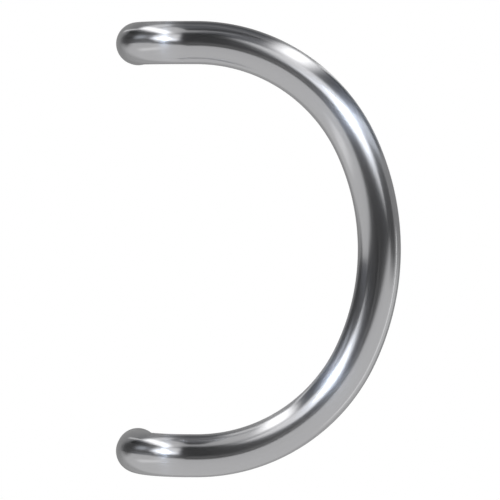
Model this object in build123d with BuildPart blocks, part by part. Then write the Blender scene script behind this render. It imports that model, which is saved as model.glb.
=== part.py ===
from build123d import *
from math import cos, radians, tan
import os

# C-shaped door pull, bent from one solid round bar, and drilled and tapped in the end of each leg.
# Millimetres. The origin is midway between the two fixing holes, on the face of the door.
# +X runs along the door towards the crown of the bow, +Y into the door, and +Z up.
# The upper and the lower half are mirror images in the plane of X and Y.

# Driving dimensions of the bent bar, and the turn of its shoulder in degrees
fixing_centres = 304.8
bar_diameter = 31.75
leg_length = 14.275
elbow_radius = 39.7
lead_in = 5.6
shoulder_radius = 129.7
shoulder_turn = 64.7
rim_chamfer = 0.5

# Driving dimensions of the tapped holes, and the angles of their two drills in degrees
thread_diameter = 9.525
tap_drill_diameter = 7.94
hole_depth = 22.0
countersink_angle = 120
drill_point_angle = 118

# Sizes that follow from them
half_centres = fixing_centres / 2
bar_radius = bar_diameter / 2
stand_off = leg_length + elbow_radius
bow_start = elbow_radius + lead_in
thread_radius = thread_diameter / 2
tap_drill_radius = tap_drill_diameter / 2
drill_point_length = tap_drill_radius / tan(radians(drill_point_angle / 2))

# The crown's arc takes over where the shoulder's ends, and its centre is at mid-height.
shoulder_end_height = half_centres - shoulder_radius * (1 - cos(radians(shoulder_turn)))
crown_radius = shoulder_end_height / cos(radians(shoulder_turn))
crown_turn = 90 - shoulder_turn

# Planes of the upper half: its seat on the door, and the two that the axis of the bar lies in
seat_plane = Plane(origin=(0, 0, half_centres), z_dir=(0, 1, 0))
leg_plane = Plane.XY.offset(half_centres)
bow_plane = Plane.XZ.offset(stand_off)

with BuildPart() as pull_handle:
    # The axis of the upper half leaves the door, turns through the elbow, runs level for a little,
    # and closes towards mid-height in two arcs, a tighter shoulder and a wider crown.
    with BuildLine(leg_plane):
        leg = Line((0, 0), (0, -leg_length))
        elbow = JernArc(leg @ 1, leg % 1, elbow_radius, 90)
    with BuildLine(bow_plane):
        lead = Line(elbow @ 1, (bow_start, half_centres))
        shoulder = JernArc(lead @ 1, lead % 1, shoulder_radius, -shoulder_turn)
        crown = JernArc(shoulder @ 1, shoulder % 1, crown_radius, -crown_turn)
    with BuildSketch(seat_plane):
        Circle(bar_radius)
    sweep()

    # The seat on the door is cut square, and its rim is eased.
    seat = pull_handle.faces().sort_by(Axis.Y)[-1]
    chamfer(seat.edges(), rim_chamfer)

    # The blind hole for the fixing bolt, countersunk to the diameter of the thread
    with Locations(seat_plane):
        CounterSinkHole(tap_drill_radius, thread_radius, hole_depth, countersink_angle)
    with Locations(seat_plane.offset(-hole_depth)):
        Cone(
            bottom_radius=0,
            top_radius=tap_drill_radius,
            height=drill_point_length,
            align=(Align.CENTER, Align.CENTER, Align.MAX),
            mode=Mode.SUBTRACT,
        )

    mirror(about=Plane.XY)

os.makedirs("parts", exist_ok=True)

pull_handle.part.label = "pull_handle"
export_step(pull_handle.part, "parts/pull_handle.step")
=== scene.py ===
"""Door pull of polished round bar, drawn finely, and the studio that it is seen in.

The surface follows the sizes of the CAD source, with a real thread in each hole.
"""
from math import ceil, cos, pi, radians, sin, tan

import bpy
import numpy as np
from mathutils import Matrix, Vector


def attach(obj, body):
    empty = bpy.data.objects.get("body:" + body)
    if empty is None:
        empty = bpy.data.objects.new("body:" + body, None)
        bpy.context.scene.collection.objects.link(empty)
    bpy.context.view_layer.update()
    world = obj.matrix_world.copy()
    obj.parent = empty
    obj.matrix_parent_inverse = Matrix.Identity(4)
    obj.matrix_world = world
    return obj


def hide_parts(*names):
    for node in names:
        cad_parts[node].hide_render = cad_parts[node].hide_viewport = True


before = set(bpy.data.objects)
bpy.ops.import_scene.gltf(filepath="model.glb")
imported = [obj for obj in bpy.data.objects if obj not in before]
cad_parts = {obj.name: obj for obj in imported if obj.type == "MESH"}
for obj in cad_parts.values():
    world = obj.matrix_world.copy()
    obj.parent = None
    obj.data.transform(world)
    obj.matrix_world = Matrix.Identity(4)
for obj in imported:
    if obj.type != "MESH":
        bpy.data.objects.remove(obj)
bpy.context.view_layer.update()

MM = 0.001

# Sizes of the bar and of the tapped holes, in millimetres, as in the CAD source
FIXING_CENTRES = 304.8
BAR_DIAMETER = 31.75
LEG_LENGTH = 14.275
ELBOW_RADIUS = 39.7
LEAD_IN = 5.6
SHOULDER_RADIUS = 129.7
SHOULDER_TURN = radians(64.7)
RIM_CHAMFER = 0.5
THREAD_DIAMETER = 9.525
TAP_DRILL_DIAMETER = 7.94
HOLE_DEPTH = 22.0
COUNTERSINK_ANGLE = radians(120)
DRILL_POINT_ANGLE = radians(118)

# The thread, which the CAD source leaves out: its pitch, how deep it goes, and how much of a sharp thread's
# height is cut off at the top and again at the root, as a share of the height that is left
THREAD_PITCH = 1.5875
THREAD_RUN = 18.5
THREAD_TRIM = 0.125

# Sizes that follow from them
HALF_CENTRES = FIXING_CENTRES / 2
BAR_RADIUS = BAR_DIAMETER / 2
STAND_OFF = LEG_LENGTH + ELBOW_RADIUS
BOW_START = ELBOW_RADIUS + LEAD_IN
THREAD_RADIUS = THREAD_DIAMETER / 2
TAP_DRILL_RADIUS = TAP_DRILL_DIAMETER / 2
CROWN_RADIUS = (HALF_CENTRES - SHOULDER_RADIUS * (1 - cos(SHOULDER_TURN))) / cos(SHOULDER_TURN)
CROWN_CENTRE_X = BOW_START + (SHOULDER_RADIUS - CROWN_RADIUS) * sin(SHOULDER_TURN)

# How finely the surface is divided: parts of a turn round the bar, rings in a leg and in an elbow,
# the step along the bow and down a hole in millimetres, and the angle from which an edge is sharp
AROUND = 96
LEG_RINGS = 6
ELBOW_RINGS = 36
BOW_STEP = 2.0
HOLE_STEP = 0.12
SHARP_EDGE = radians(25)
ANGLES = np.arange(AROUND) * 2 * pi / AROUND

# The steel's colours, and how much of the polished steel's reflection comes off its polishing lines
STEEL = (0.60, 0.60, 0.61, 1)
MACHINED = (0.52, 0.52, 0.53, 1)
LINES_SHARE = 0.30

# Noise in the roughness of each finish: its scale, and the lowest and highest roughness
MIRROR_NOISE = (900, 0.120, 0.138)
LINES_NOISE = (1500, 0.30, 0.34)
MACHINED_NOISE = (2500, 0.27, 0.40)

# The grooves of the machined finish: their noise's scale and range, their depth in metres, and their strength
GROOVE_NOISE = (2500, 0.0, 1.0)
GROOVE_DEPTH = 0.00002
GROOVE_STRENGTH = 0.6

# What the noises share: their detail, the part of their range that is used, and how little they change
# along the bar
NOISE_DETAIL = 2.0
NOISE_LOW, NOISE_HIGH = 0.3, 0.7
LINE_STRETCH = 0.02

UV_NAME = "round_and_along"


def upper_axis():
    """Stations of the upper half from the seat to the crown: (point, way along, way to the outer edge)."""
    up = np.array([0.0, 0.0, 1.0])
    stations = []
    for y in np.linspace(-RIM_CHAMFER, -LEG_LENGTH, LEG_RINGS):
        stations.append((np.array([0.0, y, HALF_CENTRES]), np.array([0.0, -1.0, 0.0]), up))
    for turn in np.linspace(0, pi / 2, ELBOW_RINGS)[1:]:
        point = [ELBOW_RADIUS * (1 - cos(turn)), -LEG_LENGTH - ELBOW_RADIUS * sin(turn), HALF_CENTRES]
        stations.append((np.array(point), np.array([sin(turn), -cos(turn), 0.0]), up))
    for x in np.linspace(ELBOW_RADIUS, BOW_START, ceil(LEAD_IN / BOW_STEP) + 1)[1:]:
        stations.append((np.array([x, -STAND_OFF, HALF_CENTRES]), np.array([1.0, 0.0, 0.0]), up))
    for start, end, radius, centre_x, centre_z in (
        (0, SHOULDER_TURN, SHOULDER_RADIUS, BOW_START, HALF_CENTRES - SHOULDER_RADIUS),
        (SHOULDER_TURN, pi / 2, CROWN_RADIUS, CROWN_CENTRE_X, 0.0),
    ):
        for turn in np.linspace(start, end, ceil((end - start) * radius / BOW_STEP) + 1)[1:]:
            outward = np.array([sin(turn), 0.0, cos(turn)])
            point = np.array([centre_x, -STAND_OFF, centre_z]) + radius * outward
            stations.append((point, np.array([cos(turn), 0.0, -sin(turn)]), outward))
    return stations


def hole_rings(end):
    """Rings of one tapped hole, from its drill point out to the rim of its leg.

    end is 1 for the upper leg and -1 for the lower one.
    """
    centre = np.array([0.0, 0.0, end * HALF_CENTRES])
    outward = np.array([0.0, 0.0, end])
    sideways = np.array([-1.0, 0.0, 0.0])
    mouth_slope = tan(COUNTERSINK_ANGLE / 2)
    rings = []
    for depth in np.linspace(HOLE_DEPTH, 0, ceil(HOLE_DEPTH / HOLE_STEP) + 1):
        turns = (depth / THREAD_PITCH - end * ANGLES / (2 * pi)) % 1
        ridge = np.clip(abs(turns - 0.5) * 2 * (1 + 2 * THREAD_TRIM) - THREAD_TRIM, 0, 1)
        fade = np.clip((THREAD_RUN - depth) / THREAD_PITCH, 0, 1)
        cut = TAP_DRILL_RADIUS + (THREAD_RADIUS - TAP_DRILL_RADIUS) * ridge * fade
        cone = THREAD_RADIUS - depth * mouth_slope
        rings.append((centre + np.array([0.0, -depth, 0.0]), outward, sideways, np.maximum(cut, cone)))
    rings.append((centre, outward, sideways, np.full(AROUND, BAR_RADIUS - RIM_CHAMFER)))
    return rings


def handle_rings():
    """Every ring as (centre, outward, sideways, radii), and how many of them one hole has.

    They run from the upper drill point out to its leg's rim, along the handle, and in to the lower one.
    """
    flip = np.array([1.0, 1.0, -1.0])
    full = np.full(AROUND, BAR_RADIUS)
    upper = upper_axis()
    middle = [(point, outward, np.cross(along, outward), full) for point, along, outward in upper]
    middle += [(point * flip, outward * flip, np.cross(along, outward), full)
               for point, along, outward in reversed(upper[:-1])]
    top, bottom = hole_rings(1), hole_rings(-1)
    return top + middle + bottom[::-1], len(top)


def build_handle():
    """The handle's surface as one closed mesh. The holes and the legs' ends take its second material."""
    rings, hole_count = handle_rings()
    count = len(rings)
    verts = []
    for centre, outward, sideways, radii in rings:
        spokes = np.cos(ANGLES)[:, None] * outward + np.sin(ANGLES)[:, None] * sideways
        verts.append(centre + radii[:, None] * spokes)
    point_length = TAP_DRILL_RADIUS / tan(DRILL_POINT_ANGLE / 2)
    tips = [[0, -HOLE_DEPTH - point_length, end * HALF_CENTRES] for end in (1, -1)]
    points = np.vstack(verts + [np.array(tips)]) * MM

    faces = []
    for row in range(count - 1):
        here, there = row * AROUND, (row + 1) * AROUND
        for spoke in range(AROUND):
            beside = (spoke + 1) % AROUND
            faces.append((here + spoke, here + beside, there + beside, there + spoke))
    first_tip, last_tip = count * AROUND, count * AROUND + 1
    last_row = (count - 1) * AROUND
    for spoke in range(AROUND):
        beside = (spoke + 1) % AROUND
        faces.append((first_tip, beside, spoke))
        faces.append((last_tip, last_row + spoke, last_row + beside))
    mesh = bpy.data.meshes.new("handle_surface")
    mesh.from_pydata(points.tolist(), [], faces)
    mesh.polygons.foreach_set("use_smooth", [True] * len(mesh.polygons))

    # The UVs are the share of a turn round the bar, and the metres along its axis.
    lengths = np.zeros(count)
    for row in range(1, count):
        lengths[row] = lengths[row - 1] + np.linalg.norm(rings[row][0] - rings[row - 1][0])
    uv = mesh.uv_layers.new(name=UV_NAME)
    coords = np.zeros((len(mesh.loops), 2))
    for row in range(count - 1):
        near, far = lengths[row] * MM, lengths[row + 1] * MM
        for spoke in range(AROUND):
            first = 4 * (row * AROUND + spoke)
            left, right = spoke / AROUND, (spoke + 1) / AROUND
            coords[first:first + 4] = ((left, near), (right, near), (right, far), (left, far))
    uv.data.foreach_set("uv", coords.ravel())

    end_rows = hole_count - 1
    slots = np.zeros(len(mesh.polygons), dtype=np.int32)
    slots[:end_rows * AROUND] = 1
    slots[(count - 1 - end_rows) * AROUND:] = 1
    mesh.polygons.foreach_set("material_index", slots)
    mesh.validate()
    mesh.set_sharp_from_angle(angle=SHARP_EDGE)
    handle = bpy.data.objects.new("polished_handle", mesh)
    bpy.context.scene.collection.objects.link(handle)
    return handle


def add(tree, kind, **values):
    """A new node. Each value goes to the input of that name, or else to the setting of that name."""
    node = tree.nodes.new(kind)
    for key, value in values.items():
        if key in node.inputs:
            node.inputs[key].default_value = value
        else:
            setattr(node, key, value)
    return node


def node_material(name):
    """A new material, its empty tree, and the socket that its surface goes to."""
    material = bpy.data.materials.new(name)
    material.use_nodes = True
    tree = material.node_tree
    tree.nodes.clear()
    return material, tree, add(tree, "ShaderNodeOutputMaterial").inputs["Surface"]


def feed(tree, value, socket):
    """Gives a socket its value, which is a number or the socket that it comes from."""
    if isinstance(value, bpy.types.NodeSocket):
        tree.links.new(value, socket)
    else:
        socket.default_value = value


def math_node(tree, operation, *values):
    """Arithmetic on numbers or sockets."""
    node = add(tree, "ShaderNodeMath", operation=operation)
    for socket, value in zip(node.inputs, values):
        feed(tree, value, socket)
    return node.outputs[0]


def map_range(tree, value, start, end, low, high, interpolation="LINEAR"):
    """Runs from low to high while a value runs from start to end, and stays level outside them."""
    node = add(tree, "ShaderNodeMapRange", interpolation_type=interpolation)
    sockets = ("Value", "From Min", "From Max", "To Min", "To Max")
    for socket, number in zip(sockets, (value, start, end, low, high)):
        feed(tree, number, node.inputs[socket])
    return node.outputs["Result"]


def mix_shaders(tree, share, first, second):
    """Two shaders in one. share is how much of the second there is, as a number or a socket."""
    node = add(tree, "ShaderNodeMixShader")
    feed(tree, share, node.inputs["Fac"])
    tree.links.new(first, node.inputs[1])
    tree.links.new(second, node.inputs[2])
    return node.outputs[0]


def spread_noise(tree, vector, scale, low, high):
    """Noise at a vector, spread out so that it runs from low to high."""
    noise = add(tree, "ShaderNodeTexNoise", Scale=scale, Detail=NOISE_DETAIL)
    tree.links.new(vector, noise.inputs["Vector"])
    return map_range(tree, noise.outputs["Fac"], NOISE_LOW, NOISE_HIGH, low, high)


def metal(tree, colour, vector, noise, **values):
    """A metal shader with noise in its roughness."""
    shader = add(tree, "ShaderNodeBsdfPrincipled", Metallic=1.0, **values)
    shader.inputs["Base Color"].default_value = colour
    tree.links.new(spread_noise(tree, vector, *noise), shader.inputs["Roughness"])
    return shader


def polished_steel():
    """Polished stainless steel: nearly a mirror, with a faint sheen from polishing lines along the bar."""
    material, tree, surface = node_material("polished_steel")
    link = tree.links.new

    # A place on the bar for the noise: round it at its real size, and along it drawn out
    on_bar = add(tree, "ShaderNodeUVMap", uv_map=UV_NAME)
    split = add(tree, "ShaderNodeSeparateXYZ")
    link(on_bar.outputs["UV"], split.inputs[0])
    turn = math_node(tree, "MULTIPLY", split.outputs["X"], 2 * pi)
    place = add(tree, "ShaderNodeCombineXYZ")
    link(math_node(tree, "MULTIPLY", math_node(tree, "COSINE", turn), BAR_RADIUS * MM), place.inputs["X"])
    link(math_node(tree, "MULTIPLY", math_node(tree, "SINE", turn), BAR_RADIUS * MM), place.inputs["Y"])
    link(math_node(tree, "MULTIPLY", split.outputs["Y"], LINE_STRETCH), place.inputs["Z"])

    mirror = metal(tree, STEEL, place.outputs[0], MIRROR_NOISE)
    lines = metal(tree, STEEL, place.outputs[0], LINES_NOISE, Anisotropic=1.0)
    round_bar = add(tree, "ShaderNodeTangent", direction_type="UV_MAP", uv_map=UV_NAME)
    link(round_bar.outputs[0], lines.inputs["Tangent"])
    link(mix_shaders(tree, LINES_SHARE, mirror.outputs["BSDF"], lines.outputs["BSDF"]), surface)
    return material


def machined_steel():
    """Faced and tapped steel, with the fine rings that the tool leaves round the hole."""
    material, tree, surface = node_material("machined_steel")
    link = tree.links.new

    # A place for the noise: how far a point is from the axis of its leg, and along the axis drawn out
    position = add(tree, "ShaderNodeTexCoord")
    split = add(tree, "ShaderNodeSeparateXYZ")
    link(position.outputs["Object"], split.inputs[0])
    height = math_node(tree, "SUBTRACT", math_node(tree, "ABSOLUTE", split.outputs["Z"]), HALF_CENTRES * MM)
    height_squared = math_node(tree, "MULTIPLY", height, height)
    width_squared = math_node(tree, "MULTIPLY", split.outputs["X"], split.outputs["X"])
    off_axis = math_node(tree, "SQRT", math_node(tree, "ADD", height_squared, width_squared))
    place = add(tree, "ShaderNodeCombineXYZ")
    link(off_axis, place.inputs["X"])
    link(math_node(tree, "MULTIPLY", split.outputs["Y"], LINE_STRETCH), place.inputs["Y"])

    steel = metal(tree, MACHINED, place.outputs[0], MACHINED_NOISE)
    groove = add(tree, "ShaderNodeBump", Distance=GROOVE_DEPTH, Strength=GROOVE_STRENGTH)
    link(spread_noise(tree, place.outputs[0], *GROOVE_NOISE), groove.inputs["Height"])
    link(groove.outputs["Normal"], steel.inputs["Normal"])
    link(steel.outputs["BSDF"], surface)
    return material


handle = build_handle()
handle.data.materials.append(polished_steel())
handle.data.materials.append(machined_steel())
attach(handle, "root")
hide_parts("pull_handle")

# The studio, in metres: half the size of the room that the handle mirrors, the distance of the farthest card
# and how much nearer each next one is, and the floor's height and half its size
ROOM = 12.0
FARTHEST_CARD = 9.0
CARD_SPACING = 0.2
FLOOR_Z = -0.32
FLOOR_HALF = 9.0

# Colours of the room and its cards, before their level
WHITE = (1, 1, 1)
COOL_GREY = (0.97, 1.0, 1.08)
COOL_WHITE = (0.97, 1.0, 1.05)
PALE_BLUE = (0.95, 1.0, 1.08)
BLUE = (0.85, 1.0, 1.25)

# Levels of the room below and above the handle, and the strength of the world's soft light
ROOM_BELOW = 0.42
ROOM_ABOVE = 0.09
AMBIENT = 0.7

# The floor's colour, the distances in metres between which it turns white, and how white it is before them
FLOOR_COLOUR = (0.9, 0.9, 0.9, 1)
WHITE_FROM, WHITE_TO = 0.5, 1.3
NEAR_WHITE = 0.3

# The lamp's place and the width of its disc in metres, and its power in watts
LAMP_PLACE = Vector((0.3, -0.8, 2.2))
LAMP_WIDTH = 0.5
LAMP_POWER = 24

# The camera's angles in degrees, its distance, the point that it looks at and how far it sees in metres,
# and its focal length in pixels of a picture 500 wide
CAMERA_AZIMUTH = 0.632
CAMERA_ELEVATION = 2.024
CAMERA_ROLL = 0.098
CAMERA_DISTANCE = 2.619
CAMERA_TARGET = Vector((0.08488, -0.06096, 0.00003))
CAMERA_REACH = 100
PICTURE_WIDTH = 500
FOCAL_PIXELS = 3562.4


def stage_mesh(name, points, faces, materials):
    """A mesh that belongs to the studio and not to the handle."""
    mesh = bpy.data.meshes.new(name)
    mesh.from_pydata(points, [], faces)
    obj = bpy.data.objects.new(name, mesh)
    bpy.context.scene.collection.objects.link(obj)
    for material in materials:
        mesh.materials.append(material)
    return obj


def sheet(name, half_width, half_height, material):
    """A flat stage mesh round its own origin."""
    points = [(x * half_width, y * half_height, 0) for x, y in ((-1, -1), (1, -1), (1, 1), (-1, 1))]
    return stage_mesh(name, points, [(0, 1, 2, 3)], [material])


def only_in_reflections(obj):
    """The handle mirrors these, and the camera, the floor and other light don't meet them."""
    obj.visible_camera = False
    obj.visible_diffuse = False
    obj.visible_shadow = False


def facing(azimuth, elevation, roll, distance, target=Vector((0, 0, 0))):
    """Where a card or camera stands that faces a target, with its own Z pointing away from it.

    Angles are in degrees. Azimuth 0 is on the camera's side and grows to the right.
    """
    azimuth, elevation, roll = radians(azimuth), radians(elevation), radians(roll)
    away = Vector((sin(azimuth) * cos(elevation), -cos(azimuth) * cos(elevation), sin(elevation)))
    across = Vector((cos(azimuth), sin(azimuth), 0))
    upward = away.cross(across)
    x_axis = cos(roll) * across + sin(roll) * upward
    y_axis = cos(roll) * upward - sin(roll) * across
    axes = Matrix((x_axis, y_axis, away)).transposed().to_4x4()
    return Matrix.Translation(target + away * distance) @ axes


def glow_material(name, level, colour=WHITE, soft=None):
    """Light that shows in the steel at a level, where 1 is white.

    soft gives the width of the soft sides and of the soft ends, as shares of half the card.
    """
    material, tree, surface = node_material(name)
    glow = add(tree, "ShaderNodeEmission", Strength=level / STEEL[0])
    glow.inputs["Color"].default_value = (*colour, 1)
    if soft is None:
        tree.links.new(glow.outputs[0], surface)
        return material
    place = add(tree, "ShaderNodeTexCoord")
    split = add(tree, "ShaderNodeSeparateXYZ")
    tree.links.new(place.outputs["Generated"], split.inputs[0])
    shares = []
    for axis, width in zip("XY", soft):
        from_middle = math_node(tree, "ABSOLUTE", math_node(tree, "SUBTRACT", split.outputs[axis], 0.5))
        from_edge = math_node(tree, "SUBTRACT", 1.0, math_node(tree, "MULTIPLY", from_middle, 2.0))
        shares.append(map_range(tree, from_edge, 0.0, width, 0.0, 1.0, "SMOOTHSTEP"))
    clear = add(tree, "ShaderNodeBsdfTransparent")
    share = math_node(tree, "MULTIPLY", *shares)
    tree.links.new(mix_shaders(tree, share, clear.outputs[0], glow.outputs[0]), surface)
    return material


cards = []


def card(name, azimuth, elevation, roll, half_width, half_height, soft_sides, soft_ends, level,
         colour=WHITE):
    """A flat card that faces the handle. Later cards stand nearer and hide earlier ones.

    Angles are in degrees, and the half sizes are angles too, as seen from the handle.
    """
    distance = FARTHEST_CARD - CARD_SPACING * len(cards)
    width, height = distance * tan(radians(half_width)), distance * tan(radians(half_height))
    obj = sheet(name, width, height, glow_material(name, level, colour, (soft_sides, soft_ends)))
    obj.matrix_world = facing(azimuth, elevation, roll, distance)
    only_in_reflections(obj)
    cards.append(obj)


# The room that the handle mirrors is a box, grey in its lower half and dark in its upper one.
room_square = ((-ROOM, -ROOM), (ROOM, -ROOM), (ROOM, ROOM), (-ROOM, ROOM))
corners = [(x, y, z) for z in (-ROOM, 0.0, ROOM) for x, y in room_square]
lower_walls = [(i, (i + 1) % 4, (i + 1) % 4 + 4, i + 4) for i in range(4)]
upper_walls = [(i + 4, (i + 1) % 4 + 4, (i + 1) % 4 + 8, i + 8) for i in range(4)]
below = [(0, 1, 2, 3)] + lower_walls
above = [(8, 11, 10, 9)] + upper_walls
room_materials = [glow_material("room_below", ROOM_BELOW), glow_material("room_above", ROOM_ABOVE, COOL_GREY)]
room = stage_mesh("studio_room", corners, below + above, room_materials)
room.data.polygons.foreach_set("material_index", [0] * len(below) + [1] * len(above))
only_in_reflections(room)

# Soft boxes in front and overhead, and the flags and grey cards between them. Most stand in pairs, left and
# right. Each line gives azimuth, elevation, roll, half width and height, softness, level and perhaps colour.
card("grey_behind_below", 180, -42, 0, 50, 14, 0.6, 0.7, 0.27)
card("dark_behind", 160, 53, 0, 28, 8, 0.5, 0.6, 0.04)
card("ceiling_grey", 150, 77, 0, 34, 5, 0.6, 0.6, 0.16)
card("ceiling_dark", 25, 76, 0, 20, 7, 0.5, 0.5, 0.03)
card("lighter_left", -52, 62, -18, 32, 18, 0.7, 0.25, 0.41)
card("lighter_back_left", -138, 62, 35, 15, 10, 0.7, 0.7, 0.50)
card("behind_left", -165, 6, 13, 46, 55, 0.65, 0.85, 0.19)
card("behind_right", 165, 5, 3, 40, 38, 0.5, 0.5, 0.17)
card("side_low_left", -112, 16, 42, 33, 25, 0.8, 0.65, 0.03)
card("side_low_right", 113, 8, 0, 38, 19, 0.6, 0.6, 0.20)
card("bounce_left", -70, -27, 0, 28, 9, 0.6, 0.8, 0.62)
card("bounce_right", 104, -20, 0, 4.5, 36, 0.7, 0.5, 0.80)
card("dark_front_right", 32, 2, 12, 32, 11.5, 0.2, 0.65, 0.03)
card("dark_side_right", 77, 7, -7, 20, 18, 0.5, 0.55, 0.05)
card("dark_low_middle", -1, -11, 0, 7, 7, 0.5, 0.4, 0.03)
card("dark_front_left", -32, 0.8, -12, 32, 13, 0.2, 0.6, 0.03)
card("dark_side_left", -79, 16, 7, 20, 11, 0.5, 0.55, 0.05)
card("dark_middle", -2, 23, 0, 11, 37, 0.35, 0.5, 0.01)
card("ceiling_strip", 0, 64, 0, 16, 2.5, 0.6, 0.6, 0.32)
card("wing_right", 34, 25, -8, 26, 21, 0.4, 0.5, 0.62)
card("wing_left", -37.5, 25.5, 8, 23, 21, 0.35, 0.5, 0.64)
card("front_box_right", 37, 19.5, 13, 32, 9.5, 0.8, 0.65, 1.20, COOL_WHITE)
card("front_box_left", -41.5, 19.3, -13, 28.5, 9.7, 0.7, 0.65, 1.20, COOL_WHITE)
card("hot_right", 38, 22, 10, 10, 4.8, 1.0, 1.0, 26.0, BLUE)
card("hot_left", -40.5, 21.5, -10, 10, 4.8, 1.0, 1.0, 26.0, BLUE)
card("blue_strip_left", -86, 24, 12, 20, 10, 1.0, 0.8, 0.33, PALE_BLUE)
card("blue_strip_right", 88, 27, -5, 26, 7.5, 0.4, 0.55, 0.43, PALE_BLUE)
card("gap_left", -98, 39, 13, 32, 6, 0.3, 0.3, 0.0)
card("gap_right", 86, 43, -6, 24, 6.5, 0.3, 0.3, 0.015)
card("overhead_left", -86, 57, -1, 36, 11, 0.5, 0.8, 1.3)
card("overhead_right", 88, 58.6, -1, 49, 10.5, 0.75, 0.9, 1.35)
card("dark_back_right", 131, 29, -10, 11, 15, 0.4, 0.3, 0.0)
card("tail_right", 152, 28, -48, 22, 3, 0.4, 0.7, 0.6)
card("tail_left", -138, 34, 48, 18, 3, 0.4, 0.7, 0.6)


def backdrop_rays(tree):
    """1 for the rays of the camera, of mirrors and of glass, and 0 for the rest."""
    path = add(tree, "ShaderNodeLightPath")
    mirrored = math_node(tree, "MAXIMUM", path.outputs["Is Camera Ray"], path.outputs["Is Glossy Ray"])
    return math_node(tree, "MAXIMUM", mirrored, path.outputs["Is Transmission Ray"])


def pale_floor():
    """A floor with the handle's soft shadow near it, and plain white further off."""
    material, tree, surface = node_material("pale_floor")
    plain = add(tree, "ShaderNodeBsdfDiffuse")
    plain.inputs["Color"].default_value = FLOOR_COLOUR
    white = add(tree, "ShaderNodeEmission")
    place = add(tree, "ShaderNodeTexCoord")
    reach = add(tree, "ShaderNodeVectorMath", operation="LENGTH")
    tree.links.new(place.outputs["Object"], reach.inputs[0])
    whiteness = map_range(tree, reach.outputs["Value"], WHITE_FROM, WHITE_TO, NEAR_WHITE, 1.0, "SMOOTHSTEP")
    share = math_node(tree, "MULTIPLY", backdrop_rays(tree), whiteness)
    tree.links.new(mix_shaders(tree, share, plain.outputs[0], white.outputs[0]), surface)
    return material


# The floor lies well below the handle, and isn't in its reflections.
floor = sheet("floor", FLOOR_HALF, FLOOR_HALF, pale_floor())
floor.location.z = FLOOR_Z
floor.visible_glossy = False

# A soft lamp above, for the shadow on the floor
lamp_data = bpy.data.lights.new("soft_lamp", "AREA")
lamp_data.shape = "DISK"
lamp_data.size = LAMP_WIDTH
lamp_data.energy = LAMP_POWER
lamp = bpy.data.objects.new("soft_lamp", lamp_data)
bpy.context.scene.collection.objects.link(lamp)
lamp.location = LAMP_PLACE
lamp.rotation_euler = LAMP_PLACE.to_track_quat("Z", "Y").to_euler()
lamp.visible_glossy = False

# The world is white to the camera and in reflections, and a soft light otherwise.
world = bpy.data.worlds.new("studio")
world.use_nodes = True
bpy.context.scene.world = world
tree = world.node_tree
tree.nodes.clear()
out = add(tree, "ShaderNodeOutputWorld")
ambient = add(tree, "ShaderNodeBackground", Strength=AMBIENT)
backdrop = add(tree, "ShaderNodeBackground", Strength=1.0)
for light in (ambient, backdrop):
    light.inputs["Color"].default_value = (*WHITE, 1)
mix = mix_shaders(tree, backdrop_rays(tree), ambient.outputs[0], backdrop.outputs[0])
tree.links.new(mix, out.inputs["Surface"])

camera_data = bpy.data.cameras.new("camera")
camera_data.lens = FOCAL_PIXELS / PICTURE_WIDTH * camera_data.sensor_width
camera_data.clip_end = CAMERA_REACH
camera = bpy.data.objects.new("camera", camera_data)
bpy.context.scene.collection.objects.link(camera)
camera.matrix_world = facing(CAMERA_AZIMUTH, CAMERA_ELEVATION, CAMERA_ROLL, CAMERA_DISTANCE, CAMERA_TARGET)
bpy.context.scene.camera = camera
bpy.context.scene.view_settings.view_transform = "Standard"
